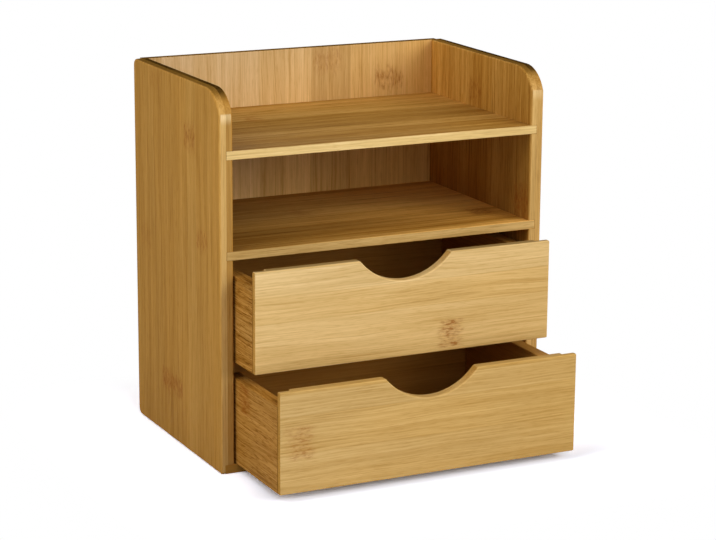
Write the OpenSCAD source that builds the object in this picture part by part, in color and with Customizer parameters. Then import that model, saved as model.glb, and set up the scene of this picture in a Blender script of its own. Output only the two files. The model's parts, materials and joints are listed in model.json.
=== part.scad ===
// Desktop mini drawers: a bamboo case with an open tray on top, an open
// compartment under it and two drawers below, each with a finger scoop.
// Origin: centre of the case's footprint, on the surface it stands on.
// +Z is up, -Y is the front, where the drawers pull out.

/* [Case] */
// Width over the side panels
case_w = 200; // [150:1:300]
// Depth of the case, from its front edges to its back face
case_d = 127; // [100:1:220]
// Height of the open compartment over the drawers
compartment_h = 50.5; // [20:0.5:120]
// Height of the tray's walls over the top shelf
tray_h = 32.5; // [22:0.5:80]

/* [Case boards] */
// Thickness of each side panel
side_t = 8; // [7:0.5:14]
// Thickness of the back panel
back_t = 5; // [4:0.5:10]
// Thickness of the top shelf and of the middle shelf
shelf_t = 5; // [4:0.5:10]
// Thickness of the base panel
base_t = 5; // [4:0.5:10]
// Thickness of the divider between the drawers
divider_t = 7.5; // [4:0.5:10]
// Depth of the housings that hold the shelves, the divider and the back panel
housing_d = 4; // [2:0.5:6]
// Depth of the rabbet that holds the base panel
base_seat_d = 5.5; // [2:0.5:6]

/* [Side panel corners] */
// Radius of the top front corner
front_corner_r = 20; // [8:0.5:20]
// How far the front edge cuts into that corner's arc, which leaves a crease
front_corner_cut = 1.2; // [0.2:0.1:3]
// Radius of the two back corners
back_corner_r = 4; // [1:0.5:6]
// Radius of the bottom front corner
foot_corner_r = 1.5; // [0.5:0.5:3]

/* [Drawers] */
// Height of a drawer front
drawer_front_h = 57; // [40:0.5:100]
// Thickness of a drawer front
drawer_front_t = 6; // [5:0.5:10]
// Thickness of the front's end lips, which cover the ends of the drawer sides
drawer_lip_t = 3.5; // [1:0.5:4]
// Thickness of each drawer side
drawer_side_t = 7.5; // [6:0.5:10]
// Thickness of the drawer back
drawer_back_t = 6; // [4:0.5:10]
// Depth of the rabbets in the drawer sides that hold the drawer back
drawer_back_seat_d = 4; // [2:0.5:5]
// Thickness of the drawer bottom
bottom_t = 3; // [2:0.5:5]
// Depth of the grooves that hold the drawer bottom
bottom_groove_d = 2.5; // [1:0.5:3]
// Height of the drawer bottom over the lower edges of the drawer sides
bottom_up = 3; // [2:0.5:8]

/* [Finger scoop] */
// Radius of the scoop in the top edge of a drawer front
scoop_r = 36; // [20:0.5:50]
// Depth of the scoop
scoop_depth = 13.5; // [8:0.5:18]
// Radius that eases the scoop's two upper corners
scoop_ease_r = 2; // [0.5:0.5:4]

/* [Clearances] */
// Gap between a drawer and the case, on each side
drawer_side_gap = 1; // [0.3:0.1:2]
// Gap over each drawer front
drawer_top_gap = 1; // [0.3:0.1:2]
// Gap between a closed drawer and the back panel
drawer_back_gap = 1; // [0.3:0.1:4]
// Gap between a closed drawer front and the divider behind it
divider_front_gap = 1; // [0.3:0.1:4]
// Gap between the sides of the lower drawer and the divider over them
divider_under_gap = 1.5; // [0.3:0.1:4]

/* [Open drawers] */
// How far the upper drawer stands open
upper_open = 26; // [0:0.5:60]
// How far the lower drawer stands open
lower_open = 58.5; // [0:0.5:60]

/* [Hidden] */
$fn = 96;

// How far a cutter reaches past the face that it opens
past = 1;

// Heights, from the ground up
z_lower = base_t;
z_upper = z_lower + drawer_front_h + drawer_top_gap;
z_middle = z_upper + drawer_front_h + drawer_top_gap;
z_top = z_middle + shelf_t + compartment_h;
case_h = z_top + shelf_t + tray_h;

// Places across and along the case
case_left = -case_w / 2;
inner_w = case_w - 2 * side_t;
y_front = -case_d / 2;
y_back = case_d / 2;
y_inner = y_back - back_t;
divider_set_in = drawer_front_t + divider_front_gap;

// One drawer, drawn closed with its lower edges at z = 0
drawer_w = inner_w - 2 * drawer_side_gap;
drawer_d = y_inner - y_front - drawer_back_gap;
drawer_side_h = drawer_front_h + drawer_top_gap - divider_t - divider_under_gap;
drawer_left = -drawer_w / 2;
drawer_inner_w = drawer_w - 2 * drawer_side_t;
y_front_back = y_front + drawer_front_t;
y_drawer_end = y_front + drawer_d;
y_drawer_inner = y_drawer_end - drawer_back_t;

// The scoop's centre over the edge, and the centres of its easing arcs
scoop_rise = scoop_r - scoop_depth;
ease_x = sqrt(pow(scoop_r + scoop_ease_r, 2) - pow(scoop_rise + scoop_ease_r, 2));
ease_share = scoop_r / (scoop_r + scoop_ease_r);
ease_end_x = ease_x * ease_share;
ease_end_y = scoop_rise - (scoop_rise + scoop_ease_r) * ease_share;

panel_color = "#a5783c";
shelf_color = "#b4864a";
back_color = "#c39a5e";
front_color = "#d7b47d";
drawer_color = "#a2743a";

// ---- helpers ----

// Stands a flat outline up: its x runs along +Y, its y along +Z, its thickness along +X
module across(thickness) {
    rotate([90, 0, 90])
        linear_extrude(thickness)
            children();
}

// What a rounded corner loses, for a corner at the origin of a shape that lies at +x, +y
module corner_waste(r) {
    difference() {
        translate([-past, -past])
            square(r + past);
        translate([r, r])
            circle(r = r);
    }
}

// A board between the side panels, seated in them by the given depth
module seated_board(seat, y0, z0, thickness) {
    translate([-inner_w / 2 - seat, y0, z0])
        cube([inner_w + 2 * seat, y_inner - y0, thickness]);
}

// The cut that such a board needs in the left side panel
module seat_cut(seat, y0, z0, thickness) {
    translate([-inner_w / 2 - seat, y0, z0])
        cube([seat + past, y_inner - y0, thickness]);
}

// ---- the case ----

module side_outline() {
    difference() {
        translate([y_front, 0])
            square([case_d, case_h]);
        translate([y_front - front_corner_cut, case_h])
            mirror([0, 1])
                corner_waste(front_corner_r);
        translate([y_front, 0])
            corner_waste(foot_corner_r);
        translate([y_back, 0])
            mirror([1, 0])
                corner_waste(back_corner_r);
        translate([y_back, case_h])
            mirror([1, 0])
                mirror([0, 1])
                    corner_waste(back_corner_r);
    }
}

module left_side_panel() {
    color(panel_color)
        difference() {
            translate([case_left, 0, 0])
                across(side_t)
                    side_outline();
            seat_cut(housing_d, y_front - past, z_top, shelf_t);
            seat_cut(housing_d, y_front - past, z_middle, shelf_t);
            seat_cut(housing_d, y_front + divider_set_in, z_upper - divider_t, divider_t);
            translate([0, 0, -past])
                seat_cut(base_seat_d, y_front - past, 0, base_t + past);
            translate([-inner_w / 2 - housing_d, y_inner, -past])
                cube([housing_d + past, back_t + past, case_h + 2 * past]);
        }
}

module right_side_panel() {
    mirror([1, 0, 0])
        left_side_panel();
}

module back_panel() {
    color(back_color)
        translate([-inner_w / 2 - housing_d, y_inner, 0])
            cube([inner_w + 2 * housing_d, back_t, case_h]);
}

module top_shelf() {
    color(shelf_color)
        seated_board(housing_d, y_front, z_top, shelf_t);
}

module middle_shelf() {
    color(shelf_color)
        seated_board(housing_d, y_front, z_middle, shelf_t);
}

module drawer_divider() {
    color(shelf_color)
        seated_board(housing_d, y_front + divider_set_in, z_upper - divider_t, divider_t);
}

module base_panel() {
    color(shelf_color)
        seated_board(base_seat_d, y_front, 0, base_t);
}

// ---- one drawer ----

// The space that the drawer bottom fills, also inside the boards that hold it
module bottom_space() {
    translate([-drawer_inner_w / 2 - bottom_groove_d, y_front_back - bottom_groove_d, bottom_up])
        cube([
            drawer_inner_w + 2 * bottom_groove_d,
            y_drawer_inner - y_front_back + 2 * bottom_groove_d,
            bottom_t
        ]);
}

// The scoop's outline, with the top edge of the drawer front at y = 0
module scoop_outline() {
    translate([0, scoop_rise])
        circle(r = scoop_r);
    difference() {
        polygon([
            [-ease_x, past], [-ease_x, 0], [-ease_end_x, ease_end_y],
            [ease_end_x, ease_end_y], [ease_x, 0], [ease_x, past]
        ]);
        for (side = [-1, 1])
            translate([side * ease_x, -scoop_ease_r])
                circle(r = scoop_ease_r);
    }
}

module drawer_front() {
    color(front_color)
        difference() {
            translate([drawer_left, y_front, 0])
                cube([drawer_w, drawer_front_t, drawer_front_h]);
            translate([0, y_front_back + past, drawer_front_h])
                rotate([90, 0, 0])
                    linear_extrude(drawer_front_t + 2 * past)
                        scoop_outline();
            for (side = [0, 1])
                mirror([side, 0, 0])
                    translate([drawer_left - past, y_front + drawer_lip_t, -past])
                        cube([drawer_side_t + past, drawer_front_t, drawer_front_h + 2 * past]);
            bottom_space();
        }
}

module drawer_left_side() {
    color(drawer_color)
        difference() {
            translate([drawer_left, y_front + drawer_lip_t, 0])
                cube([drawer_side_t, drawer_d - drawer_lip_t, drawer_side_h]);
            translate([-drawer_inner_w / 2 - drawer_back_seat_d, y_drawer_inner, -past])
                cube([drawer_back_seat_d + past, drawer_back_t + past, drawer_side_h + 2 * past]);
            bottom_space();
        }
}

module drawer_right_side() {
    mirror([1, 0, 0])
        drawer_left_side();
}

module drawer_back() {
    color(drawer_color)
        difference() {
            translate([-drawer_inner_w / 2 - drawer_back_seat_d, y_drawer_inner, 0])
                cube([drawer_inner_w + 2 * drawer_back_seat_d, drawer_back_t, drawer_side_h]);
            bottom_space();
        }
}

module drawer_bottom() {
    color(shelf_color)
        bottom_space();
}

// ---- where the two drawers stand ----

module in_upper_bay() {
    translate([0, -upper_open, z_upper])
        children();
}

module in_lower_bay() {
    translate([0, -lower_open, z_lower])
        children();
}

left_side_panel();
right_side_panel();
back_panel();
top_shelf();
middle_shelf();
drawer_divider();
base_panel();
in_upper_bay() drawer_front();  // upper_drawer_front
in_upper_bay() drawer_left_side();  // upper_drawer_left_side
in_upper_bay() drawer_right_side();  // upper_drawer_right_side
in_upper_bay() drawer_back();  // upper_drawer_back
in_upper_bay() drawer_bottom();  // upper_drawer_bottom
in_lower_bay() drawer_front();  // lower_drawer_front
in_lower_bay() drawer_left_side();  // lower_drawer_left_side
in_lower_bay() drawer_right_side();  // lower_drawer_right_side
in_lower_bay() drawer_back();  // lower_drawer_back
in_lower_bay() drawer_bottom();  // lower_drawer_bottom
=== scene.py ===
"""Desktop mini drawers in laminated bamboo: an open tray on top, an open compartment
under it, and two drawers with finger scoops.

Each operator makes one kind of board from the CAD frame, rounds its arrises, and gives
it a bamboo finish that follows the board's own grain. The last operator sets the studio.
Lengths are in metres, and in the bamboo's patterns in millimetres.
"""

import json
import math

import bmesh
import bpy
import numpy as np
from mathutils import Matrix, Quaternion, Vector

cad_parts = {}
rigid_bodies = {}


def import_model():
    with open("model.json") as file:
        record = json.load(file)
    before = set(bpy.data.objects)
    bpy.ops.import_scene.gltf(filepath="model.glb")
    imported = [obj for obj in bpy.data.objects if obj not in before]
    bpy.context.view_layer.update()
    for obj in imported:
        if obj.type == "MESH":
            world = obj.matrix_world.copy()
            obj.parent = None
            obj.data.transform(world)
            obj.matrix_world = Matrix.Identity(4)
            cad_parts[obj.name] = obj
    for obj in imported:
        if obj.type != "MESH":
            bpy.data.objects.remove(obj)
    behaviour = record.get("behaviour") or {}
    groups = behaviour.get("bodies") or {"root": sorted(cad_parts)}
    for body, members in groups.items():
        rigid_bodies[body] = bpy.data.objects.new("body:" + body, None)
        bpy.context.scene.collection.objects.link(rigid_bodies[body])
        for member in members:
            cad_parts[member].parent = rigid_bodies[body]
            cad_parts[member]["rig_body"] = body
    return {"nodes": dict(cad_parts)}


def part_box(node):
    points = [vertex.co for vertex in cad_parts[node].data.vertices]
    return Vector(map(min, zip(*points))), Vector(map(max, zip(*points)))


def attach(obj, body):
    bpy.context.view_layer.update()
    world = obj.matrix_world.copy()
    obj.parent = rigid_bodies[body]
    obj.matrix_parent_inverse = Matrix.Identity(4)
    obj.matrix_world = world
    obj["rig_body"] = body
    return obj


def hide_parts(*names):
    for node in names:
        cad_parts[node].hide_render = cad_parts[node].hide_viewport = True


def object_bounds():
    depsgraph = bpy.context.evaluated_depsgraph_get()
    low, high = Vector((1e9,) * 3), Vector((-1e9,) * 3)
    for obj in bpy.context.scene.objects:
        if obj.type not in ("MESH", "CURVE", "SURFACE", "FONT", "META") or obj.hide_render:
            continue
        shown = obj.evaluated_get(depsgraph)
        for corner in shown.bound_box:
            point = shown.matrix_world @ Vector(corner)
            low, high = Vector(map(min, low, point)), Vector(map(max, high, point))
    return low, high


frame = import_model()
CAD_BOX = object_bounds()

bl_info = {
    "name": "Bamboo Mini Drawers",
    "version": (1, 0, 0),
    "blender": (4, 5, 0),
    "location": "View3D > Sidebar > Mini Drawers",
    "description": "Dresses a desktop mini drawer case in laminated bamboo and sets its studio",
    "category": "Object",
}


# ---- sizes and colours that a user would change ----


def shade(code):
    """The linear colour of a six-digit sRGB code, which is what a colour property holds."""
    parts = [int(code[i : i + 2], 16) / 255 for i in (0, 2, 4)]
    return tuple(v / 12.92 if v <= 0.04045 else ((v + 0.055) / 1.055) ** 2.4 for v in parts)


def colour_property(name, description, code):
    return bpy.props.FloatVectorProperty(
        name=name, description=description, subtype="COLOR", size=3, min=0.0, max=1.0,
        default=shade(code),
    )


def length_property(name, description, default, low, high):
    return bpy.props.FloatProperty(
        name=name, description=description, unit="LENGTH", subtype="DISTANCE",
        default=default, min=low, max=high,
    )


def angle_property(name, description, degrees):
    return bpy.props.FloatProperty(
        name=name, description=description, unit="ROTATION", subtype="ANGLE",
        default=math.radians(degrees),
    )


def share_property(name, description, default, high=1.0):
    return bpy.props.FloatProperty(
        name=name, description=description, subtype="FACTOR", default=default, min=0.0, max=high
    )


def power_property(name, description, default):
    return bpy.props.FloatProperty(
        name=name, description=description, subtype="POWER", unit="POWER",
        default=default, min=0.0,
    )


class BambooFinish(bpy.types.PropertyGroup):
    """Colours and gloss of the bamboo boards."""

    panel_colour: colour_property(
        "Side Panels", "Face colour of the two side panels of the case", "B9873C"
    )
    back_colour: colour_property("Back Panel", "Face colour of the back panel of the case", "D4AC70")
    shelf_colour: colour_property(
        "Shelves", "Face colour of the shelves, the divider and the base", "B0833F"
    )
    # The fronts' colour is lighter and whiter than the other boards': partly their own colour, partly
    # painted sheen
    front_colour: colour_property("Drawer Fronts", "Face colour of the drawer fronts", "D1AA68")
    drawer_colour: colour_property(
        "Drawer Sides", "Face colour of the sides and backs of the drawers", "B37F38"
    )
    bottom_colour: colour_property("Drawer Bottoms", "Face colour of the thin drawer bottoms", "B88A46")
    edge_colour: colour_property(
        "Board Edges", "Colour of the pale long edges of the shelves and panels", "E6C584"
    )
    end_grain_colour: colour_property(
        "End Grain", "Colour where a board is cut across its fibres", "8C6428"
    )
    pore_colour: colour_property(
        "Pores", "Colour of the open ends of the fibres in the end grain", "3A2006"
    )
    knuckle_colour: colour_property(
        "Knuckles", "Colour of the flecks where the cane had a joint", "96561A"
    )
    strip_width: length_property(
        "Strip Width", "Width of the bamboo strips glued side by side", 0.017, 0.008, 0.05
    )
    tone_spread: share_property("Tone Spread", "How much the strips differ in lightness", 0.16)
    fibre_strength: share_property(
        "Fibre Strength", "How clearly the fibres show along each strip", 1.0, 2.0
    )
    roughness: share_property("Roughness", "Roughness of the satin lacquer on the faces", 0.44)
    gloss: share_property("Gloss", "Strength of the reflection from the bamboo itself", 0.0)
    lacquer: share_property("Lacquer", "Weight of the satin lacquer on the faces of the boards", 0.08)
    fibre_relief: length_property(
        "Fibre Relief", "Height of the fibres that can be felt through the lacquer",
        0.00002, 0.0, 0.0005,
    )


class BoardEdges(bpy.types.PropertyGroup):
    """Radii of the eased edges of the boards."""

    panel_arris: length_property(
        "Panel Arris", "Radius of the open edges of the side panels", 0.0011, 0.0001, 0.003
    )
    shelf_arris: length_property(
        "Shelf Arris", "Radius of the edges of the shelves and the back", 0.0003, 0.0001, 0.002
    )
    front_arris: length_property(
        "Front Arris", "Radius of the open edges of the drawer fronts", 0.0008, 0.0001, 0.002
    )
    drawer_arris: length_property(
        "Drawer Arris", "Radius of the open edges of the drawer sides and backs",
        0.0006, 0.0001, 0.002,
    )
    joint_arris: length_property(
        "Joint Arris", "Radius of the edges that meet another board", 0.00015, 0.0, 0.0005
    )
    segments: bpy.props.IntProperty(
        name="Segments", description="Faces across each rounded edge", default=3, min=1, max=6
    )


class StudioSetup(bpy.types.PropertyGroup):
    """Camera, lamps and floor of the studio."""

    azimuth: angle_property("Azimuth", "Angle of the camera round the case, from its front", -26.183)
    elevation: angle_property("Elevation", "Angle of the camera over the table", 14.033)
    roll: angle_property("Roll", "Turn of the camera about its own view line", 0.4083)
    distance: length_property(
        "Distance", "Distance from the camera to the point it looks at", 1.402456, 0.3, 5.0
    )
    target: bpy.props.FloatVectorProperty(
        name="Target", description="Point that the camera looks at",
        subtype="TRANSLATION", unit="LENGTH", size=3, default=(0.019972, 0.0115, 0.087171),
    )
    lens: bpy.props.FloatProperty(
        name="Lens", description="Focal length of the camera on a 36 mm sensor",
        unit="CAMERA", default=118.95, min=10.0, max=300.0,
    )
    key_power: power_property("Key Lamp", "Power of the large soft lamp at the front right", 29.0)
    front_power: power_property("Front Lamp", "Power of the soft lamp straight ahead", 12.0)
    left_power: power_property("Left Lamp", "Power of the soft lamp at the left", 12.0)
    high_power: power_property("High Lamp", "Power of the soft lamp high at the left", 11.0)
    rear_power: power_property("Rear Lamp", "Power of the weak lamp behind the case", 8.0)
    ambient: share_property("Ambient", "Strength of the even light from all round", 0.10, 2.0)
    floor_colour: colour_property("Floor", "Colour of the seamless floor", "E8EBF4")
    floor_gain: share_property(
        "Floor Gain", "How much brighter the camera sees the floor next to the case", 2.2, 5.0
    )
    front_shadow: share_property(
        "Front Shadow", "How much of the floor gain is taken away in front of the drawers",
        0.65, 2.0,
    )
    floor_reach: length_property(
        "Floor Reach", "Distance from the case at which the floor's shadow has faded",
        0.08, 0.02, 1.0,
    )


# ---- short ways to build node trees ----

MM = 1000.0  # millimetres in a metre
WHITE, ZERO = (1.0, 1.0, 1.0), (0.0, 0.0, 0.0)
NOISE_SPAN = (0.3, 0.7)  # nearly all values of a noise lie in it
MIX_SHARE, MIX_FIRST, MIX_SECOND, MIX_RESULT = 0, 6, 7, 2  # sockets of a Mix node for colours
FLOAT, VECTOR = "NodeSocketFloat", "NodeSocketVector"


class Graph:
    """Adds nodes to one node tree. Every input takes a plain value or another node's socket."""

    def __init__(self, tree):
        self.tree = tree

    def join(self, socket, value):
        if isinstance(value, bpy.types.NodeSocket):
            self.tree.links.new(value, socket)
        else:
            socket.default_value = value

    def node(self, kind, inputs=None, **settings):
        made = self.tree.nodes.new(kind)
        for name, value in settings.items():
            setattr(made, name, value)
        for key, value in (inputs or {}).items():
            self.join(made.inputs[key], value)
        return made

    def math(self, operation, *values, clamp=False):
        made = self.node(
            "ShaderNodeMath", dict(enumerate(values)), operation=operation, use_clamp=clamp
        )
        return made.outputs[0]

    def times(self, first, second):
        return self.math("MULTIPLY", first, second)

    def times_plus(self, first, second, more):
        return self.math("MULTIPLY_ADD", first, second, more)

    def minus(self, first, second):
        return self.math("SUBTRACT", first, second)

    def vector(self, operation, *values):
        made = self.node("ShaderNodeVectorMath", dict(enumerate(values)), operation=operation)
        return made.outputs["Value" if operation in ("DOT_PRODUCT", "LENGTH") else "Vector"]

    def scaled(self, vector, share):
        made = self.node("ShaderNodeVectorMath", {0: vector, "Scale": share}, operation="SCALE")
        return made.outputs["Vector"]

    def split(self, vector):
        return self.node("ShaderNodeSeparateXYZ", {0: vector}).outputs[:]

    def combine(self, x, y, z):
        return self.node("ShaderNodeCombineXYZ", {0: x, 1: y, 2: z}).outputs[0]

    def ramp(self, value, low, high, out_low=0.0, out_high=1.0, smooth=True):
        """A share from out_low to out_high as value goes from low to high."""
        ends = {"From Min": low, "From Max": high, "To Min": out_low, "To Max": out_high}
        curve = "SMOOTHSTEP" if smooth else "LINEAR"
        made = self.node("ShaderNodeMapRange", {"Value": value, **ends}, interpolation_type=curve)
        return made.outputs["Result"]

    def mix(self, share, first, second):
        inputs = {MIX_SHARE: share, MIX_FIRST: first, MIX_SECOND: second}
        return self.node("ShaderNodeMix", inputs, data_type="RGBA").outputs[MIX_RESULT]

    def in_sizes(self, spot, sizes):
        """The place of three coordinates, each one counted in the size that goes with it."""
        return self.combine(*(self.math("DIVIDE", run, size) for run, size in zip(spot, sizes)))

    def noise(self, spot, sizes, detail=2.0, roughness=0.5):
        """Smooth noise round 0.5, with patches of these sizes along the three coordinates."""
        vector = self.in_sizes(spot, sizes)
        made = self.node(
            "ShaderNodeTexNoise",
            {"Vector": vector, "Scale": 1.0, "Detail": detail, "Roughness": roughness},
            noise_dimensions="3D",
        )
        return made.outputs["Fac"]

    def either_way(self, noise):
        """The noise spread out from -1 to 1."""
        return self.ramp(noise, *NOISE_SPAN, -1.0, 1.0, smooth=False)


def new_group(name, inputs, outputs, kind="ShaderNodeTree"):
    """A node group, as its graph, its inputs and its outputs. An input is given by its kind
    of socket, or by its default if it is a number."""
    tree = bpy.data.node_groups.new(name, kind)
    for label, given in inputs.items():
        number = isinstance(given, float)
        socket = FLOAT if number else given
        made = tree.interface.new_socket(label, in_out="INPUT", socket_type=socket)
        if number:
            made.default_value = given
    for label, socket in outputs.items():
        tree.interface.new_socket(label, in_out="OUTPUT", socket_type=socket)
    graph = Graph(tree)
    start = graph.node("NodeGroupInput")
    end = graph.node("NodeGroupOutput", is_active_output=True)
    return graph, start.outputs, end.inputs


def emptied_graph(owner):
    """A graph of the nodes of a material or a world, with none in it yet."""
    owner.use_nodes = True
    owner.node_tree.nodes.clear()
    return Graph(owner.node_tree)


def seen_rays(g):
    """A mask of what the camera sees, also in a mirror or through glass."""
    rays = g.node("ShaderNodeLightPath").outputs
    seen = g.math("MAXIMUM", rays["Is Camera Ray"], rays["Is Glossy Ray"])
    return g.math("MAXIMUM", seen, rays["Is Transmission Ray"])


# ---- what bamboo looks like, as shader groups ----

NO_GLUE_LINE = 9999.0  # outside every board, which leaves it with one ply


def bamboo_strips():
    """Strips glued side by side, in one or two plies: tone, warmth and place of each one."""
    ply_offset = 7.0
    # The wave's turn in each strip, in radians, and its height as a share of a strip
    wave_turn, wave_height = 2.33, 0.18
    # The distances from a seam at which it is darkest and at which it is gone
    seam_fade = (0.08, 0.38)
    # How far the pattern can jump along and across from strip to strip, and through the
    # board from ply to ply
    jumps = (900.0, 300.0, 60.0)
    g, given, out = new_group(
        "bamboo_strips",
        {
            "Grain Place": VECTOR, "Strip Width": 17.0, "Strip Shift": 0.0,
            "Glue Line": NO_GLUE_LINE, "Seed": 0.0,
        },
        {"Tone": FLOAT, "Warmth": FLOAT, "Seam": FLOAT, "Ply": FLOAT, "Strip Place": VECTOR},
    )

    def chances(x, y, z):
        spot = {"Vector": g.combine(x, y, z)}
        return g.node("ShaderNodeTexWhiteNoise", spot, noise_dimensions="3D").outputs

    along, across, depth = g.split(given["Grain Place"])
    ply = g.math("GREATER_THAN", depth, given["Glue Line"])
    shifted = g.math("ADD", across, given["Strip Shift"])
    shifted = g.times_plus(ply, ply_offset, shifted)
    place = g.math("DIVIDE", shifted, given["Strip Width"])
    # A slow wave in the place makes neighbouring strips differ in width
    wave = g.math("SINE", g.times_plus(place, wave_turn, given["Seed"]))
    place = g.times_plus(wave, wave_height, place)
    number = g.math("FLOOR", place)
    part = g.minus(place, number)
    chance = chances(number, ply, given["Seed"])["Color"]
    first, second, third = g.node("ShaderNodeSeparateColor", {"Color": chance}).outputs[:3]
    to_seam = g.math("MINIMUM", part, g.minus(1.0, part))
    to_seam = g.times(to_seam, given["Strip Width"])
    open_seam = chances(g.math("ROUND", place), given["Seed"], ply)["Value"]
    # A chance from 0 to 1 becomes a change from -1 to 1
    for label, value in (("Tone", first), ("Warmth", second)):
        g.join(out[label], g.times_plus(value, 2.0, -1.0))
    seam = g.ramp(to_seam, *seam_fade, 1.0, 0.0)
    g.join(out["Seam"], g.times(seam, open_seam))
    g.join(out["Ply"], ply)
    moved = [
        g.times_plus(value, jump, run)
        for value, jump, run in zip((third, second, ply), jumps, (along, across, depth))
    ]
    g.join(out["Strip Place"], g.combine(*moved))
    return g.tree


def bamboo_fibres():
    """The long fibres of the cane: broad streaks, fine lines, dark fibres and short flecks."""
    sway_sizes, sway_reach = (70.0, 26.0, 26.0), 4.0
    cloud_sizes = (90.0, 30.0, 30.0)
    # The length, width, detail and roughness of each pattern, and the values between which it
    # starts to show. One without them goes both ways, from -1 to 1.
    patterns = {
        "Streak": (140.0, 4.5, 3.0, 0.6, None),
        "Line": (70.0, 0.8, 1.0, 0.55, None),
        "Fibre": (46.0, 1.1, 2.0, 0.6, (0.5, 0.72)),
        "Fleck": (7.0, 0.6, 1.0, 0.55, (0.52, 0.7)),
    }
    g, given, out = new_group(
        "bamboo_fibres", {"Place": VECTOR}, dict.fromkeys((*patterns, "Cloud"), FLOAT)
    )
    along, across, depth = spot = g.split(given["Place"])
    sway = g.minus(g.noise(spot, sway_sizes, 1.0), 0.5)
    swayed = (along, g.times_plus(sway, sway_reach, across), depth)
    for label, (length, width, detail, roughness, start) in patterns.items():
        value = g.noise(swayed, (length, width, width), detail, roughness)
        g.join(out[label], g.ramp(value, *start) if start else g.either_way(value))
    g.join(out["Cloud"], g.either_way(g.noise(spot, cloud_sizes)))
    return g.tree


def bamboo_knuckle():
    """One joint of the cane: a mottled patch with dark and pale marks, on one ply."""
    wobble_sizes, wobble_reach = (9.0, 4.0, 9.0), 12.0
    speck_sizes, speck_detail, speck_roughness = (4.2, 1.15, 2.0), 3.0, 0.65
    dark_specks, pale_specks, ridge_share = (0.48, 0.64), (0.48, 0.34), 0.15
    # Distances from the middle of the patch, in halves of its length and of its width
    length_fade, width_fade = (0.35, 1.25), (0.8, 1.05)
    ridge_place, ridge_reach = 0.1, 0.4
    g, given, out = new_group(
        "bamboo_knuckle",
        {
            "Grain Place": VECTOR, "Along": 0.0, "Across": 0.0, "Length": 14.0, "Width": 17.0,
            "Ply": 0.0, "On Ply": 0.0, "Strength": 1.0,
        },
        {"Fleck": FLOAT, "Glint": FLOAT, "Patch": FLOAT},
    )
    along, across, _ = spot = g.split(given["Grain Place"])
    wobble = g.minus(g.noise(spot, wobble_sizes), 0.5)
    endways = g.minus(along, given["Along"])
    endways = g.times_plus(wobble, wobble_reach, endways)
    endways = g.math("DIVIDE", endways, g.times(given["Length"], 0.5))
    sideways = g.minus(across, given["Across"])
    sideways = g.math("DIVIDE", sideways, g.times(given["Width"], 0.5))
    in_length = g.ramp(g.math("ABSOLUTE", endways), *length_fade, 1.0, 0.0)
    in_width = g.ramp(g.math("ABSOLUTE", sideways), *width_fade, 1.0, 0.0)
    same_ply = g.math("COMPARE", given["Ply"], given["On Ply"], 0.5)
    patch = g.times(g.times(in_length, in_width), same_ply)
    patch = g.times(patch, given["Strength"])
    specks = g.noise(spot, speck_sizes, speck_detail, speck_roughness)
    ridge = g.math("ABSOLUTE", g.minus(endways, ridge_place))
    ridge = g.times(g.ramp(ridge, 0.0, ridge_reach, 1.0, 0.0), ridge_share)
    dark = g.math("ADD", g.ramp(specks, *dark_specks), ridge, clamp=True)
    g.join(out["Fleck"], g.times(patch, dark))
    g.join(out["Glint"], g.times(patch, g.ramp(specks, *pale_specks)))
    g.join(out["Patch"], patch)
    return g.tree


def bamboo_shade():
    """What lightness and warmth do to the colour of bamboo, as a factor for each channel."""
    # Dark bamboo is also the more saturated, so its blue falls faster than its red, and
    # warm bamboo has less blue
    light_powers, warmth_shares = (0.75, 1.0, 1.7), (0.02, -0.015, -0.12)
    g, given, out = new_group("bamboo_shade", {"Light": 1.0, "Warmth": 0.0}, {"Shade": VECTOR})
    powers = [g.math("POWER", given["Light"], power) for power in light_powers]
    tints = [g.times_plus(given["Warmth"], share, 1.0) for share in warmth_shares]
    g.join(out["Shade"], g.vector("MULTIPLY", g.combine(*powers), g.combine(*tints)))
    return g.tree


def bamboo_end_grain():
    """The face that a cut across the fibres leaves: open pores in a dense ground."""
    pore_sizes, pore_fade = (60.0, 0.85, 0.7), (0.18, 0.42)
    ground_sizes = (30.0, 2.5, 2.0)
    g, given, out = new_group("bamboo_end_grain", {"Place": VECTOR}, {"Pore": FLOAT, "Ground": FLOAT})
    spot = g.split(given["Place"])
    cells = g.node(
        "ShaderNodeTexVoronoi", {"Vector": g.in_sizes(spot, pore_sizes), "Scale": 1.0}, feature="F1"
    )
    g.join(out["Pore"], g.ramp(cells.outputs["Distance"], *pore_fade, 1.0, 0.0))
    g.join(out["Ground"], g.either_way(g.noise(spot, ground_sizes)))
    return g.tree


def edge_wear():
    """Where hands and sandpaper have thinned the lacquer along the arrises, which also carries a
    painted highlight on them.
    """
    patch_sizes, patch_detail = (14.0, 9.0, 9.0), 3.0
    patch_fade, least_wear = (0.35, 0.6), 0.45
    g, given, out = new_group("edge_wear", {"Place": VECTOR, "Arris": 0.0}, {"Wear": FLOAT})
    patches = g.noise(g.split(given["Place"]), patch_sizes, patch_detail)
    share = g.ramp(patches, *patch_fade, least_wear, 1.0)
    g.join(out["Wear"], g.times(given["Arris"], share))
    return g.tree


def group_of(maker):
    """The node group with its maker's name, which is made when it is first asked for."""
    return bpy.data.node_groups.get(maker.__name__) or maker()


# ---- the boards ----

# What the numbers of a knuckle are, as the inputs of its shader group
KNUCKLE_FACTS = ("along", "across", "length", "width", "on_ply", "strength")

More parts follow.
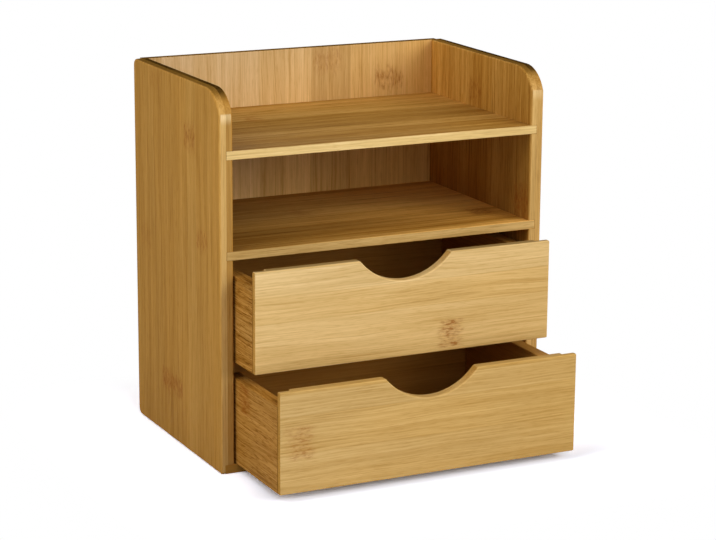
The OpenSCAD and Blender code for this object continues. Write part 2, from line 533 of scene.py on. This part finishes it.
# What a board is like where it doesn't say otherwise. Places and lengths are in millimetres.
USUAL = {
    "shift": 0.0,  # of the strips across the board
    "width": 0.0,  # of the strips, or 0 for the finish's own strip width
    "glue": NO_GLUE_LINE,  # where the second ply starts, through the thickness
    "spread": 1.0,  # how much the strips differ in tone
    "figure": 1.0,  # how strong the fibres are
    "flecks": 0.0,  # how strong the short flecks are, beyond the figure
    "tone": 0.0,  # how much lighter it is than its colour
    "warmth": 0.0,  # how much warmer it is
    "second_ply": 0.0,  # how much lighter the second ply is
    "ply_warmth": 0.0,  # how much warmer the second ply is
    # On several boards the drifts are painted light and shade
    "drift": (0.0, 0.0),  # the change of tone and warmth in DRIFT_RUN along the fibres
    "drift_across": (0.0, 0.0),  # the same across them
    "edge_share": (0.0, 0.0),  # how pale the long edges of the first and second ply are
    "edge_tone": 0.0,  # how much lighter the long edges are
    "edge_from": None,  # where the edge tone starts across the board, if not everywhere
    "end_share": 1.0,  # how plainly the cut ends show their end grain
    "end_tone": 0.0,  # how much lighter the cut ends are
    "end_turn": (0.4, 0.9),  # how far a face turns across the fibres as end grain comes in
    "rub": (),  # where along the board the front edge is palest, and how pale
    "knuckles": (),  # the KNUCKLE_FACTS of each one
}


def board(kind, grain, seed, **own):
    """The facts of a board. Its colour is named for its kind, and so is a slot name that is
    not used. Its grain is the axes along its fibres, across its strips and through it, its
    seed is for the chances of its strips, and own is what isn't as usual."""
    if not set(own) <= set(USUAL):
        raise KeyError(f"{kind}: {set(own) - set(USUAL)}")
    named = {"colour": f"{kind}_colour", "slot": f"{kind}_bamboo", "grain": grain, "seed": seed}
    return {**named, **USUAL, **own}


BOARDS = {
    "left_side_panel": board(
        "panel", "ZYX", 321, shift=16.0, glue=-96.0, spread=1.2, edge_share=(0.4, 0.18),
        second_ply=-0.12, ply_warmth=1.2, figure=2.6, tone=-0.05, drift=(0.04, 0.0),
        rub=(200.8, 0.62), end_tone=-0.15, end_turn=(0.64, 0.97),
        knuckles=(
            (182, -21, 17, 17, 0, 1.05), (127, -38, 14, 17, 0, 0.9), (33.5, 8, 14, 33, 0, 1.4),
            (112, 47, 16, 17, 0, 0.4), (207, 30, 14, 17, 0, 0.35), (92, 13, 16, 17, 1, 0.8),
        ),
    ),
    # Its drifts make its faces lighter towards the top and the back: painted light and shade, darker in
    # the compartment under the top shelf
    "right_side_panel": board(
        "panel", "ZYX", 121, shift=14.0, glue=96.0, spread=2.2, edge_share=(0.45, 0.32),
        second_ply=-0.05, ply_warmth=0.4, figure=4.0, drift=(0.05, 0.0), drift_across=(0.14, 0.0),
        rub=(200.8, 0.3), end_tone=-0.1, end_turn=(0.64, 0.97),
        knuckles=(
            (190, 2.5, 17, 17, 0, 0.8), (135.5, -54, 24, 17, 0, 1.5),
            (70, 20.5, 16, 17, 1, 0.9), (165, 37.5, 16, 17, 1, 0.9),
        ),
    ),
    # Its drifts make it lighter and warmer lower down and warmer to the right: partly its own tone,
    # partly painted warm bounce light in the compartment
    "back_panel": board(
        "back", "ZXY", 528, shift=6.0, width=20.0, figure=2.3, spread=2.2, tone=0.238,
        warmth=4.3, drift=(-0.12, -2.2), drift_across=(0.03, 2.0), end_tone=-0.25,
        knuckles=(
            (192, 63, 13, 20, 0, 0.95), (46, -72, 17, 22, 0, 0.9), (106, -6, 13, 17, 0, 0.7),
            (83, 38, 15, 19, 0, 0.6), (206, 22, 17, 20, 0, 0.55),
        ),
    ),
    "top_shelf": board(
        "shelf", "XYZ", 42, shift=2.0, edge_share=(1.0, 0.0), figure=4.6, spread=2.6, tone=0.04,
        warmth=0.5, drift=(0.08, 0.7), drift_across=(0.12, 0.0), edge_tone=-0.04,
        knuckles=((-45, 20, 14, 17, 0, 0.8),),
    ),
    # Its drifts make it lighter to the right and towards the front: painted light and shade, with its
    # left part in the left panel's shadow
    "middle_shelf": board(
        "shelf", "XYZ", 487, shift=4.0, edge_share=(0.42, 0.0), edge_tone=-0.2, figure=4.0,
        tone=0.21, spread=3.0, warmth=0.4, drift=(0.58, 0.0), drift_across=(-0.15, 0.0),
        knuckles=((79, -29.5, 18, 17, 0, 1.5), (-20, 9.5, 14, 17, 0, 0.6)),
    ),
    "drawer_divider": board("shelf", "XYZ", 29, shift=8.0),
    "base_panel": board(
        "shelf", "XYZ", 31, shift=2.0, warmth=2.2, tone=-0.06, knuckles=((40, -2, 14, 17, 0, 0.9),)
    ),
    # Its drifts make it lighter and whiter towards the left and the top: partly its own tone, partly
    # painted sheen. Its edge tone darkens its top edge: painted shade under the middle shelf.
    "upper_drawer_front": board(
        "front", "XZY", 260, shift=14.0, spread=0.9, end_share=0.9, figure=2.0, warmth=0.2,
        drift=(-0.10, 0.7), drift_across=(0.10, -1.5), edge_tone=-0.42, edge_from=119.0,
        end_tone=0.8, knuckles=((28.5, 73, 15, 17, 0, 1.3),),
    ),
    "upper_drawer_left_side": board(
        "drawer", "YZX", 43, shift=9.0, end_share=0.8, figure=5.5, flecks=2.2
    ),
    "upper_drawer_right_side": board(
        "drawer", "YZX", 47, shift=2.0, end_share=0.8, figure=1.8, flecks=0.5
    ),
    "upper_drawer_back": board("drawer", "XZY", 53, shift=6.0, end_share=0.8, figure=1.6),
    "upper_drawer_bottom": board("bottom", "XYZ", 59, shift=1.0),
    "lower_drawer_front": board(
        "front", "XZY", 61, shift=5.5, spread=0.4, end_share=0.9, figure=2.1, tone=-0.10,
        warmth=0.4, drift=(-0.06, 0.8), edge_tone=-0.1, end_tone=0.8,
        knuckles=((-79, 33, 17, 20, 0, 0.75),),
    ),
    "lower_drawer_left_side": board(
        "drawer", "YZX", 67, shift=4.0, end_share=0.8, figure=4.4, flecks=1.3,
        knuckles=((-76, 45, 15, 17, 0, 1.6),),
    ),
    "lower_drawer_right_side": board(
        "drawer", "YZX", 71, shift=7.0, end_share=0.8, figure=1.8, flecks=0.4
    ),
    "lower_drawer_back": board("drawer", "XZY", 73, shift=3.0, end_share=0.8, figure=1.6),
    "lower_drawer_bottom": board("bottom", "XYZ", 79, shift=5.0),
}


# How much the patterns change the lightness: streaks, lines and clouds either way down to
# LEAST_LIGHT, and fibres, flecks and seams only darker, each by MOST_DARKENING at most
STREAK, LINE, CLOUD = 0.05, 0.045, 0.05
FIBRE, FLECK, EXTRA_FLECK, SEAM = 0.09, 0.05, 0.2, 0.12
LEAST_LIGHT, MOST_DARKENING = 0.4, 0.6
STRIP_WARMTH, CLOUD_WARMTH, MOST_WARMTH = 0.5, 0.4, 2.7  # the most keeps some blue
DRIFT_RUN = 100.0  # the run along or across a board that its drifts are given for
# How much light a knuckle's pale marks add, and how far its patch and dark marks are tinted
KNUCKLE_GLINT, KNUCKLE_TINT, KNUCKLE_MARKS = 0.16, 0.2, 0.58
# How far a face has turned to a long edge while the edge's look comes in, on the flat edge
# and round the corner, which has CORNER_PART of the paleness
EDGE_TURN, CORNER_TURN, CORNER_PART = (0.94, 0.985), (0.35, 0.94), 0.45
EDGE_CALM = (0.5, 0.5, 0.5)  # the part of the faces' pattern that pale edges keep
EDGE_BLEND = 2.0  # how far before its place an edge tone starts to come in
# A pale band comes in between these distances below its place, whiter than a pale edge by its tint
PALE_BAND_FADE, PALE_BAND_TINT = (6.0, 0.5), (1.2, 1.26, 1.6)
# What the ground, the strips and the second ply add to a cut end, and how plain its pores are
END_GROUND, END_STRIPS, END_PLY, END_PORES = 0.10, 0.15, -0.5, 0.45
# How much lighter the arrises are, partly wear and partly painted highlight, and how much of that shows
WEAR_AND_HIGHLIGHT_GAIN, WEAR_AND_HIGHLIGHT_SHARE = 1.12, 0.6
FIBRE_ROUGHNESS, END_ROUGHNESS, WORN_ROUGHNESS = 0.06, 0.16, 0.08  # on top of the finish's
SEAM_DEPTH, PORE_DEPTH = 0.8, 2.0  # as multiples of a fibre's


def bamboo_material(node, finish):
    """The bamboo of one board: its strips, fibres, knuckles, end grain and worn arrises."""
    facts = BOARDS[node]
    material = bpy.data.materials.new(f"{node}_bamboo")
    g = emptied_graph(material)

    def put(maker, **inputs):
        made = g.node("ShaderNodeGroup", node_tree=group_of(maker))
        for key, value in inputs.items():
            g.join(made.inputs[key.replace("_", " ").title()], value)
        return made.outputs

    def stored(label):
        return g.node("ShaderNodeAttribute", attribute_name=label).outputs["Fac"]

    def over(colour, other, mask, share):
        return g.mix(g.times(mask, share), colour, other)

    # The place in the board, in millimetres: along its grain, across it and through it
    place = g.scaled(g.node("ShaderNodeTexCoord").outputs["Object"], MM)
    axes = dict(zip("XYZ", g.split(place)))
    grain_axes = [axes[letter] for letter in facts["grain"]]
    grain_place = g.combine(*grain_axes)
    along, across, _ = grain_axes

    strips = put(
        bamboo_strips,
        grain_place=grain_place,
        strip_width=facts["width"] or finish.strip_width * MM,
        strip_shift=facts["shift"],
        glue_line=facts["glue"],
        seed=float(facts["seed"]),
    )
    fibres = put(bamboo_fibres, place=strips["Strip Place"])

    # Light and dark strips, and the streaks, lines and fibres in each one
    figure = facts["figure"] * finish.fibre_strength
    spread = finish.tone_spread * facts["spread"] / 2
    light = g.times_plus(strips["Tone"], spread, 1.0)
    for label, share in (("Streak", STREAK * figure), ("Line", LINE * figure), ("Cloud", CLOUD)):
        light = g.times_plus(fibres[label], share, light)
    light = g.math("MAXIMUM", light, LEAST_LIGHT)
    for value, share in (
        (fibres["Fibre"], FIBRE * figure),
        (fibres["Fleck"], FLECK * figure + EXTRA_FLECK * facts["flecks"]),
        (strips["Seam"], SEAM),
    ):
        kept = g.times_plus(value, -min(share, MOST_DARKENING), 1.0)
        light = g.times(light, kept)

    # The tone and warmth of the board and its plies, which drift slowly over its faces. On several
    # boards the drifts are painted light and shade.
    beside = stored("edge_grain")
    flat_edge = g.ramp(beside, *EDGE_TURN)
    on_face = g.minus(1.0, flat_edge)
    level = g.times_plus(strips["Ply"], facts["second_ply"], 1.0 + facts["tone"])
    warm = g.times_plus(strips["Warmth"], STRIP_WARMTH, facts["warmth"])
    warm = g.times_plus(strips["Ply"], facts["ply_warmth"], warm)
    warm = g.times_plus(fibres["Cloud"], CLOUD_WARMTH, warm)
    for run, (tone, warmth) in zip((along, across), (facts["drift"], facts["drift_across"])):
        run = g.times(run, on_face)
        level = g.times_plus(run, tone / DRIFT_RUN, level)
        warm = g.times_plus(run, warmth / DRIFT_RUN, warm)
    warm = g.math("MINIMUM", warm, MOST_WARMTH)
    shades = put(bamboo_shade, light=light, warmth=warm)["Shade"]
    colour = g.vector("MULTIPLY", tuple(getattr(finish, facts["colour"])), shades)
    colour = g.scaled(colour, level)

    # The knuckles of the cane
    marks = (*finish.knuckle_colour, 1.0)
    relief = g.minus(1.0, fibres["Fibre"])
    for numbers in facts["knuckles"]:
        named = dict(zip(KNUCKLE_FACTS, map(float, numbers)))
        knuckle = put(bamboo_knuckle, grain_place=grain_place, ply=strips["Ply"], **named)
        glint = g.times_plus(knuckle["Glint"], KNUCKLE_GLINT, 1.0)
        colour = g.scaled(colour, glint)
        colour = over(colour, marks, knuckle["Patch"], KNUCKLE_TINT)
        colour = over(colour, marks, knuckle["Fleck"], KNUCKLE_MARKS)
        relief = g.minus(relief, knuckle["Fleck"])

    # The pale long edges of each ply, which show halfway round a rounded corner
    first, second = facts["edge_share"]
    corner = g.ramp(beside, *CORNER_TURN, 0.0, CORNER_PART)
    turned = g.times_plus(flat_edge, 1.0 - CORNER_PART, corner)
    paleness = g.times_plus(strips["Ply"], second - first, first)
    calm = g.vector("MULTIPLY_ADD", shades, EDGE_CALM, EDGE_CALM)
    pale = g.vector("MULTIPLY", tuple(finish.edge_colour), calm)
    pale = g.scaled(pale, level)
    colour = over(colour, pale, turned, paleness)
    # The edge tone darkens or lightens the long edges; on the upper drawer front it is painted shade on
    # the top edge under the middle shelf
    toned = flat_edge
    if facts["edge_from"] is not None:
        beyond = g.ramp(across, facts["edge_from"] - EDGE_BLEND, facts["edge_from"])
        toned = g.times(flat_edge, beyond)
    toned = g.times_plus(toned, facts["edge_tone"], 1.0)
    colour = g.scaled(colour, toned)

    # The front edge is paler and whiter just below its rounded top corner
    if facts["rub"]:
        height, share = facts["rub"]
        rub = g.ramp(along, *(height - distance for distance in PALE_BAND_FADE))
        rub = g.times(rub, g.math("LESS_THAN", across, 0.0))
        rubbed = g.vector("MINIMUM", g.vector("MULTIPLY", pale, PALE_BAND_TINT), WHITE)
        colour = over(colour, rubbed, g.times(rub, flat_edge), share)

    # End grain where the face turns across the fibres
    cut = g.ramp(stored("end_grain"), *facts["end_turn"], 0.0, facts["end_share"])
    ends = put(bamboo_end_grain, place=grain_place)
    end_level = 1.0 + facts["end_tone"]
    for value, share in (
        (ends["Ground"], END_GROUND), (strips["Tone"], END_STRIPS), (strips["Ply"], END_PLY)
    ):
        end_level = g.times_plus(value, share, end_level)
    end_colour = g.scaled(tuple(finish.end_grain_colour), end_level)
    end_colour = over(end_colour, (*finish.pore_colour, 1.0), ends["Pore"], END_PORES)
    colour = g.mix(cut, colour, end_colour)

    # Wear along the arrises, with a painted highlight on them, then the surface
    wear_and_highlight = put(edge_wear, place=grain_place, arris=stored("arris"))["Wear"]
    # The arrises are lighter: partly wear, partly painted highlight
    worn_and_lit = g.vector("MINIMUM", g.scaled(colour, WEAR_AND_HIGHLIGHT_GAIN), WHITE)
    colour = over(colour, worn_and_lit, wear_and_highlight, WEAR_AND_HIGHLIGHT_SHARE)
    roughness = finish.roughness
    for value, share in (
        (fibres["Fibre"], FIBRE_ROUGHNESS), (cut, END_ROUGHNESS), (wear_and_highlight, WORN_ROUGHNESS)
    ):
        roughness = g.times_plus(value, share, roughness)
    relief = g.times_plus(strips["Seam"], -SEAM_DEPTH, relief)
    open_pores = g.times(cut, ends["Pore"])
    relief = g.times_plus(open_pores, -PORE_DEPTH, relief)
    bump = g.node(
        "ShaderNodeBump", {"Height": relief, "Strength": 1.0, "Distance": finish.fibre_relief}
    )
    shader = g.node(
        "ShaderNodeBsdfPrincipled",
        {
            "Base Color": colour,
            "Roughness": roughness,
            "Normal": bump.outputs["Normal"],
            "Specular IOR Level": finish.gloss,
            "Coat Weight": g.times_plus(cut, -finish.lacquer, finish.lacquer),
            "Coat Roughness": 0.34,
            "IOR": 1.5,
        },
    )
    g.node("ShaderNodeOutputMaterial", {"Surface": shader.outputs["BSDF"]})
    return material


# ---- the shapes of the boards ----

ARRIS_GAIN = 6.0  # how soon the arris mask is full as a corner turns
MERGE_DISTANCE, JOINT_SLACK = 1e-6, 5e-5
# A CAD shape's faces are one face below FLAT_TURN and shaded as one curve below CURVE_TURN,
# and its convex edges are rounded above ARRIS_TURN
FLAT_TURN, CURVE_TURN, ARRIS_TURN = (math.radians(turn) for turn in (0.4, 16.0, 30.0))


def rounded_board():
    """Geometry Nodes for a plain board: a block with every arris rounded to one radius."""
    g, given, out = new_group(
        "rounded_board",
        {
            "Size": VECTOR, "Centre": VECTOR, "Arris": 0.0005, "Grain Axis": VECTOR,
            "Across Axis": VECTOR, "Material": "NodeSocketMaterial",
        },
        {"Geometry": "NodeSocketGeometry"},
        "GeometryNodeTree",
    )
    side, points = 2.0, 6
    rows = {f"Vertices {letter}": points for letter in "XYZ"}
    block = g.node("GeometryNodeMeshCube", {"Size": (side, side, side), **rows})
    spot = g.node("GeometryNodeInputPosition").outputs[0]
    half = g.vector("SIGN", spot)
    # The two inner rows of points bound the flat faces, and the others lie on the arris
    inner = side / (points - 1) / 2
    turn = g.vector("SUBTRACT", g.vector("ABSOLUTE", spot), (inner, inner, inner))
    turn = g.vector("NORMALIZE", g.vector("MAXIMUM", turn, ZERO))
    arrises = g.combine(given["Arris"], given["Arris"], given["Arris"])
    core = g.vector("SUBTRACT", g.scaled(given["Size"], 0.5), arrises)
    spot = g.vector("ADD", core, g.scaled(turn, given["Arris"]))
    spot = g.vector("ADD", g.vector("MULTIPLY", half, spot), given["Centre"])
    x, y, z = g.split(turn)
    flat = g.math("MAXIMUM", g.math("MAXIMUM", x, y), z)
    arris = g.math("MULTIPLY", g.minus(1.0, flat), ARRIS_GAIN, clamp=True)
    ends = g.vector("DOT_PRODUCT", turn, given["Grain Axis"])
    sides = g.vector("DOT_PRODUCT", turn, given["Across Axis"])
    # The masks are stored before the points move, because they are read from the block
    made = block.outputs["Mesh"]
    for label, value in (("arris", arris), ("end_grain", ends), ("edge_grain", sides)):
        stored = {"Geometry": made, "Name": label, "Value": value}
        made = g.node("GeometryNodeStoreNamedAttribute", stored).outputs[0]
    made = g.node("GeometryNodeSetPosition", {"Geometry": made, "Position": spot}).outputs[0]
    made = g.node("GeometryNodeSetShadeSmooth", {"Geometry": made}).outputs[0]
    made = g.node("GeometryNodeRealizeInstances", {"Geometry": made}).outputs[0]
    finished = {"Geometry": made, "Material": given["Material"]}
    g.join(out["Geometry"], g.node("GeometryNodeSetMaterial", finished).outputs[0])
    return g.tree


def linked_object(name, data):
    made = bpy.data.objects.new(name, data)
    bpy.context.scene.collection.objects.link(made)
    return made


def settle(piece, material):
    """Evens the shading of a piece, and turns it and its modifiers into a plain mesh of one
    material. It gives the mesh, and the material slot that each face had."""
    piece.modifiers.new("even_shading", "WEIGHTED_NORMAL").keep_sharp = True
    bpy.context.view_layer.update()
    evaluated = piece.evaluated_get(bpy.context.evaluated_depsgraph_get())
    mesh = bpy.data.meshes.new_from_object(evaluated)
    piece.modifiers.clear()
    piece.data = mesh
    mesh.name = piece.name
    slots = np.zeros(len(mesh.polygons), np.int32)
    mesh.polygons.foreach_get("material_index", slots)
    mesh.materials.clear()
    mesh.materials.append(material)
    mesh.polygons.foreach_set("material_index", np.zeros_like(slots))
    return mesh, slots


def plain_board(node, arris, material):
    """A board with square ends, made by the rounded_board tree in its CAD node's box."""
    low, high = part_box(node)
    along, across = (
        Vector([float(letter == axis) for letter in "XYZ"]) for axis in BOARDS[node]["grain"][:2]
    )
    values = {
        "Size": high - low,
        "Centre": (high + low) / 2,
        "Arris": arris,
        "Grain Axis": along,
        "Across Axis": across,
        "Material": material,
    }
    piece = linked_object(f"{node}_board", bpy.data.meshes.new(node))
    modifier = piece.modifiers.new("rounded_board", "NODES")
    tree = group_of(rounded_board)
    for item in tree.interface.items_tree:
        if item.item_type == "SOCKET" and item.in_out == "INPUT":
            modifier[item.identifier] = values[item.name]
    modifier.node_group = tree
    settle(piece, material)
    return piece


def boxes_of_others(node):
    """The boxes of the boards that this one is glued to, which are those on its own body."""
    body = frame["nodes"][node]["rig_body"]
    return [
        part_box(name)
        for name, other in frame["nodes"].items()
        if name != node and other["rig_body"] == body
    ]


def in_joint(edge, boxes):
    """True if the whole edge lies in or against another board."""
    return any(
        all(
            low[k] - JOINT_SLACK <= vert.co[k] <= high[k] + JOINT_SLACK
            for vert in edge.verts
            for k in range(3)
        )
        for low, high in boxes
    )


def cut_board(node, arris, material, edges):
    """A board with housings, grooves, rabbets or curves: the CAD shape with rounded arrises."""
    mesh = frame["nodes"][node].data.copy()
    shape = bmesh.new()
    shape.from_mesh(mesh)
    bmesh.ops.remove_doubles(shape, verts=shape.verts, dist=MERGE_DISTANCE)
    bmesh.ops.dissolve_limit(shape, angle_limit=FLAT_TURN, verts=shape.verts, edges=shape.edges)
    weight = shape.edges.layers.float.new("bevel_weight_edge")
    boxes = boxes_of_others(node)
    for face in shape.faces:
        face.smooth = True
        face.material_index = 0
    for edge in shape.edges:
        turn = edge.calc_face_angle(0.0)
        edge.smooth = turn < CURVE_TURN
        if turn > ARRIS_TURN and edge.is_convex:
            edge[weight] = min(1.0, edges.joint_arris / arris) if in_joint(edge, boxes) else 1.0
            edge.smooth = edge[weight] > 0
    shape.to_mesh(mesh)
    shape.free()
    # The bevel puts its faces in the second slot, which marks them until settle joins the two
    mesh.materials.clear()
    mesh.materials.append(material)
    mesh.materials.append(material)
    piece = linked_object(f"{node}_board", mesh)
    bevel = piece.modifiers.new("arrises", "BEVEL")
    bevel.limit_method = "WEIGHT"
    bevel.offset_type = "OFFSET"
    bevel.width = arris
    bevel.segments = edges.segments
    bevel.use_clamp_overlap = False
    bevel.miter_outer = "MITER_SHARP"
    bevel.material = 1
    mesh, slots = settle(piece, material)
    mesh.attributes.new("arris", "FLOAT", "FACE").data.foreach_set("value", slots.astype(np.float32))
    normals = np.zeros(len(mesh.loops) * 3, np.float32)
    mesh.corner_normals.foreach_get("vector", normals)
    normals = np.abs(normals.reshape(-1, 3))
    for label, letter in zip(("end_grain", "edge_grain"), BOARDS[node]["grain"]):
        mesh.attributes.new(label, "FLOAT", "CORNER").data.foreach_set(
            "value", np.ascontiguousarray(normals[:, "XYZ".index(letter)])
        )
    return piece


PLAIN = (
    "back_panel", "top_shelf", "middle_shelf", "drawer_divider", "base_panel",
    "upper_drawer_bottom", "lower_drawer_bottom",
)


def make_boards(context, arris_name, *nodes, share=1.0):
    """Makes these boards with a share of that arris, and puts each in its CAD node's place."""
    finish, edges = context.scene.bamboo_finish, context.scene.board_edges
    arris = getattr(edges, arris_name) * share
    for node in nodes:
        material = bamboo_material(node, finish)
        if node in PLAIN:
            piece = plain_board(node, arris, material)
        else:
            piece = cut_board(node, arris, material, edges)
        if not len(piece.data.polygons):
            raise RuntimeError(f"{piece.name} came out empty")
        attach(piece, frame["nodes"][node]["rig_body"])
        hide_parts(node)
    return {"FINISHED"}


# ---- operators, one for each kind of board and one for the studio ----


class SidePanels(bpy.types.Operator):
    """Make the two side panels with their housings and rounded front corners"""

    bl_idname = "mini_drawers.side_panels"
    bl_label = "Side Panels"

    def execute(self, context):
        return make_boards(context, "panel_arris", "left_side_panel", "right_side_panel")


class BackPanel(bpy.types.Operator):
    """Make the back panel of the case"""

    bl_idname = "mini_drawers.back_panel"
    bl_label = "Back Panel"

    def execute(self, context):
        return make_boards(context, "shelf_arris", "back_panel")


class Shelves(bpy.types.Operator):
    """Make the top shelf and the middle shelf"""

    bl_idname = "mini_drawers.shelves"
    bl_label = "Shelves"

    def execute(self, context):
        return make_boards(context, "shelf_arris", "top_shelf", "middle_shelf")


class DividerAndBase(bpy.types.Operator):
    """Make the divider between the drawers and the base panel"""

    bl_idname = "mini_drawers.divider_and_base"
    bl_label = "Divider and Base"

    def execute(self, context):
        return make_boards(context, "shelf_arris", "drawer_divider", "base_panel")


class DrawerFronts(bpy.types.Operator):
    """Make the two drawer fronts with their finger scoops"""

    bl_idname = "mini_drawers.drawer_fronts"
    bl_label = "Drawer Fronts"

    def execute(self, context):
        return make_boards(context, "front_arris", "upper_drawer_front", "lower_drawer_front")


class DrawerSides(bpy.types.Operator):
    """Make the left and right sides of both drawers"""

    bl_idname = "mini_drawers.drawer_sides"
    bl_label = "Drawer Sides"

    def execute(self, context):
        return make_boards(
            context, "drawer_arris",
            "upper_drawer_left_side", "upper_drawer_right_side",
            "lower_drawer_left_side", "lower_drawer_right_side",
        )


class DrawerBacks(bpy.types.Operator):
    """Make the backs of both drawers"""

    bl_idname = "mini_drawers.drawer_backs"
    bl_label = "Drawer Backs"

    def execute(self, context):
        return make_boards(context, "drawer_arris", "upper_drawer_back", "lower_drawer_back")


class DrawerBottoms(bpy.types.Operator):
    """Make the thin bottoms of both drawers"""

    bl_idname = "mini_drawers.drawer_bottoms"
    bl_label = "Drawer Bottoms"

    def execute(self, context):
        return make_boards(
            context, "shelf_arris", "upper_drawer_bottom", "lower_drawer_bottom", share=0.5
        )


def floor_material(studio):
    """A white floor that keeps the shadow of the case, and fades to plain white round it."""
    fade_start = 0.01  # how far from the case, in metres
    # The shadow is deeper in front of the drawers. That eases off between these places, in
    # millimetres behind the foremost drawer front.
    front_start, front_end = -2.0, 45.0
    tooth_sizes, tooth_tone = (6.0, 6.0, 6.0), 0.99
    material = bpy.data.materials.new("seamless_floor")
    g = emptied_graph(material)
    place = g.node("ShaderNodeTexCoord").outputs["Object"]
    low, high = CAD_BOX
    middle = ((low[0] + high[0]) / 2, (low[1] + high[1]) / 2, 0.0)
    half = ((high[0] - low[0]) / 2, (high[1] - low[1]) / 2, 0.0)
    outside = g.vector("ABSOLUTE", g.vector("SUBTRACT", place, middle))
    outside = g.vector("MAXIMUM", g.vector("SUBTRACT", outside, half), ZERO)
    plain = g.ramp(g.vector("LENGTH", outside), fade_start, studio.floor_reach)
    seen = seen_rays(g)
    plain = g.times(seen, plain)
    x, y, _ = g.split(g.scaled(place, MM))
    front = low[1] * MM
    deeper = g.ramp(y, front + front_start, front + front_end, studio.front_shadow, 0.0)
    gain = g.minus(studio.floor_gain - 1.0, deeper)
    gain = g.times_plus(seen, gain, 1.0)
    gain = g.times(gain, g.minus(1.0, plain))
    tooth = g.ramp(g.noise((x, y, 0.0), tooth_sizes), *NOISE_SPAN, tooth_tone, 1.0)
    paper = g.scaled(g.scaled(tuple(studio.floor_colour), tooth), gain)
    diffuse = g.node("ShaderNodeBsdfDiffuse", {"Color": paper, "Roughness": 0.5})
    white = g.node("ShaderNodeEmission", {"Color": (*WHITE, 1.0), "Strength": plain})
    both = g.node("ShaderNodeAddShader", {0: diffuse.outputs[0], 1: white.outputs[0]})
    g.node("ShaderNodeOutputMaterial", {"Surface": both.outputs[0]})
    return material


FLOOR_HALF = 12.0  # from the origin to each side
LAMP_SIDE, LAMP_AIM = 1.2, Vector((0.0, -0.02, 0.09))
LAMPS = {
    "key": (1.3, -1.6, 1.0),
    "front": (0.05, -1.9, 1.0),
    "left": (-2.0, -0.2, 0.8),
    "high": (-1.2, -0.3, 1.7),
    "rear": (0.3, 1.9, 1.3),
}


def aimed_object(name, data, place, view):
    """A camera or lamp that looks along this view."""
    made = linked_object(name, data)
    made.location = place
    made.rotation_mode = "QUATERNION"
    made.rotation_quaternion = view.to_track_quat("-Z", "Y")
    return made


def soft_lamp(name, place, power):
    light = bpy.data.lights.new(name, "AREA")
    light.shape = "SQUARE"
    light.size = LAMP_SIDE
    light.energy = power
    aimed_object(name, light, place, LAMP_AIM - Vector(place))


class Studio(bpy.types.Operator):
    """Set the camera, the soft lamps, the white floor and the backdrop"""

    bl_idname = "mini_drawers.studio"
    bl_label = "Studio"

    def execute(self, context):
        scene, studio = context.scene, context.scene.studio_setup

        turn, rise = studio.azimuth, studio.elevation
        back = Vector(
            (math.sin(turn) * math.cos(rise), -math.cos(turn) * math.cos(rise), math.sin(rise))
        )
        place = Vector(studio.target) + back * studio.distance
        camera = aimed_object("camera", bpy.data.cameras.new("camera"), place, -back)
        camera.rotation_quaternion @= Quaternion((0, 0, 1), studio.roll)
        camera.data.lens = studio.lens
        camera.data.sensor_width = 36.0
        camera.data.clip_start, camera.data.clip_end = 0.01, 100.0
        scene.camera = camera

        corners = [
            (x * FLOOR_HALF, y * FLOOR_HALF, 0.0) for x, y in ((-1, -1), (1, -1), (1, 1), (-1, 1))
        ]
        mesh = bpy.data.meshes.new("floor")
        mesh.from_pydata(corners, [], [(0, 1, 2, 3)])
        mesh.materials.append(floor_material(studio))
        linked_object("floor", mesh)

        for name, place in LAMPS.items():
            soft_lamp(f"{name}_lamp", place, getattr(studio, f"{name}_power"))

        world = bpy.data.worlds.new("white_studio")
        scene.world = world
        g = emptied_graph(world)
        strength = g.times_plus(seen_rays(g), 1.0 - studio.ambient, studio.ambient)
        sky = g.node("ShaderNodeBackground", {"Color": (*WHITE, 1.0), "Strength": strength})
        g.node("ShaderNodeOutputWorld", {"Surface": sky.outputs[0]})

        scene.view_settings.view_transform = "Standard"
        return {"FINISHED"}


STEPS = (
    SidePanels, BackPanel, Shelves, DividerAndBase,
    DrawerFronts, DrawerSides, DrawerBacks, DrawerBottoms, Studio,
)


class MiniDrawersPanel(bpy.types.Panel):
    """Lists the steps that make the mini drawers, with their sizes and colours"""

    bl_idname = "VIEW3D_PT_mini_drawers"
    bl_label = "Mini Drawers"
    bl_space_type = "VIEW_3D"
    bl_region_type = "UI"
    bl_category = "Mini Drawers"

    def draw(self, context):
        for step in STEPS:
            self.layout.operator(step.bl_idname)
        for label, settings in (
            ("Bamboo", context.scene.bamboo_finish),
            ("Edges", context.scene.board_edges),
            ("Studio", context.scene.studio_setup),
        ):
            box = self.layout.box()
            box.label(text=label)
            for name in settings.__annotations__:
                box.prop(settings, name)


CLASSES = (BambooFinish, BoardEdges, StudioSetup, *STEPS, MiniDrawersPanel)


def register():
    for made in CLASSES:
        bpy.utils.register_class(made)
    bpy.types.Scene.bamboo_finish = bpy.props.PointerProperty(type=BambooFinish)
    bpy.types.Scene.board_edges = bpy.props.PointerProperty(type=BoardEdges)
    bpy.types.Scene.studio_setup = bpy.props.PointerProperty(type=StudioSetup)


def unregister():
    del bpy.types.Scene.studio_setup
    del bpy.types.Scene.board_edges
    del bpy.types.Scene.bamboo_finish
    for made in reversed(CLASSES):
        bpy.utils.unregister_class(made)


def main():
    """Runs every step in order."""
    register()
    bpy.ops.mini_drawers.side_panels()
    bpy.ops.mini_drawers.back_panel()
    bpy.ops.mini_drawers.shelves()
    bpy.ops.mini_drawers.divider_and_base()
    bpy.ops.mini_drawers.drawer_fronts()
    bpy.ops.mini_drawers.drawer_sides()
    bpy.ops.mini_drawers.drawer_backs()
    bpy.ops.mini_drawers.drawer_bottoms()
    bpy.ops.mini_drawers.studio()


if __name__ == "__main__":
    main()
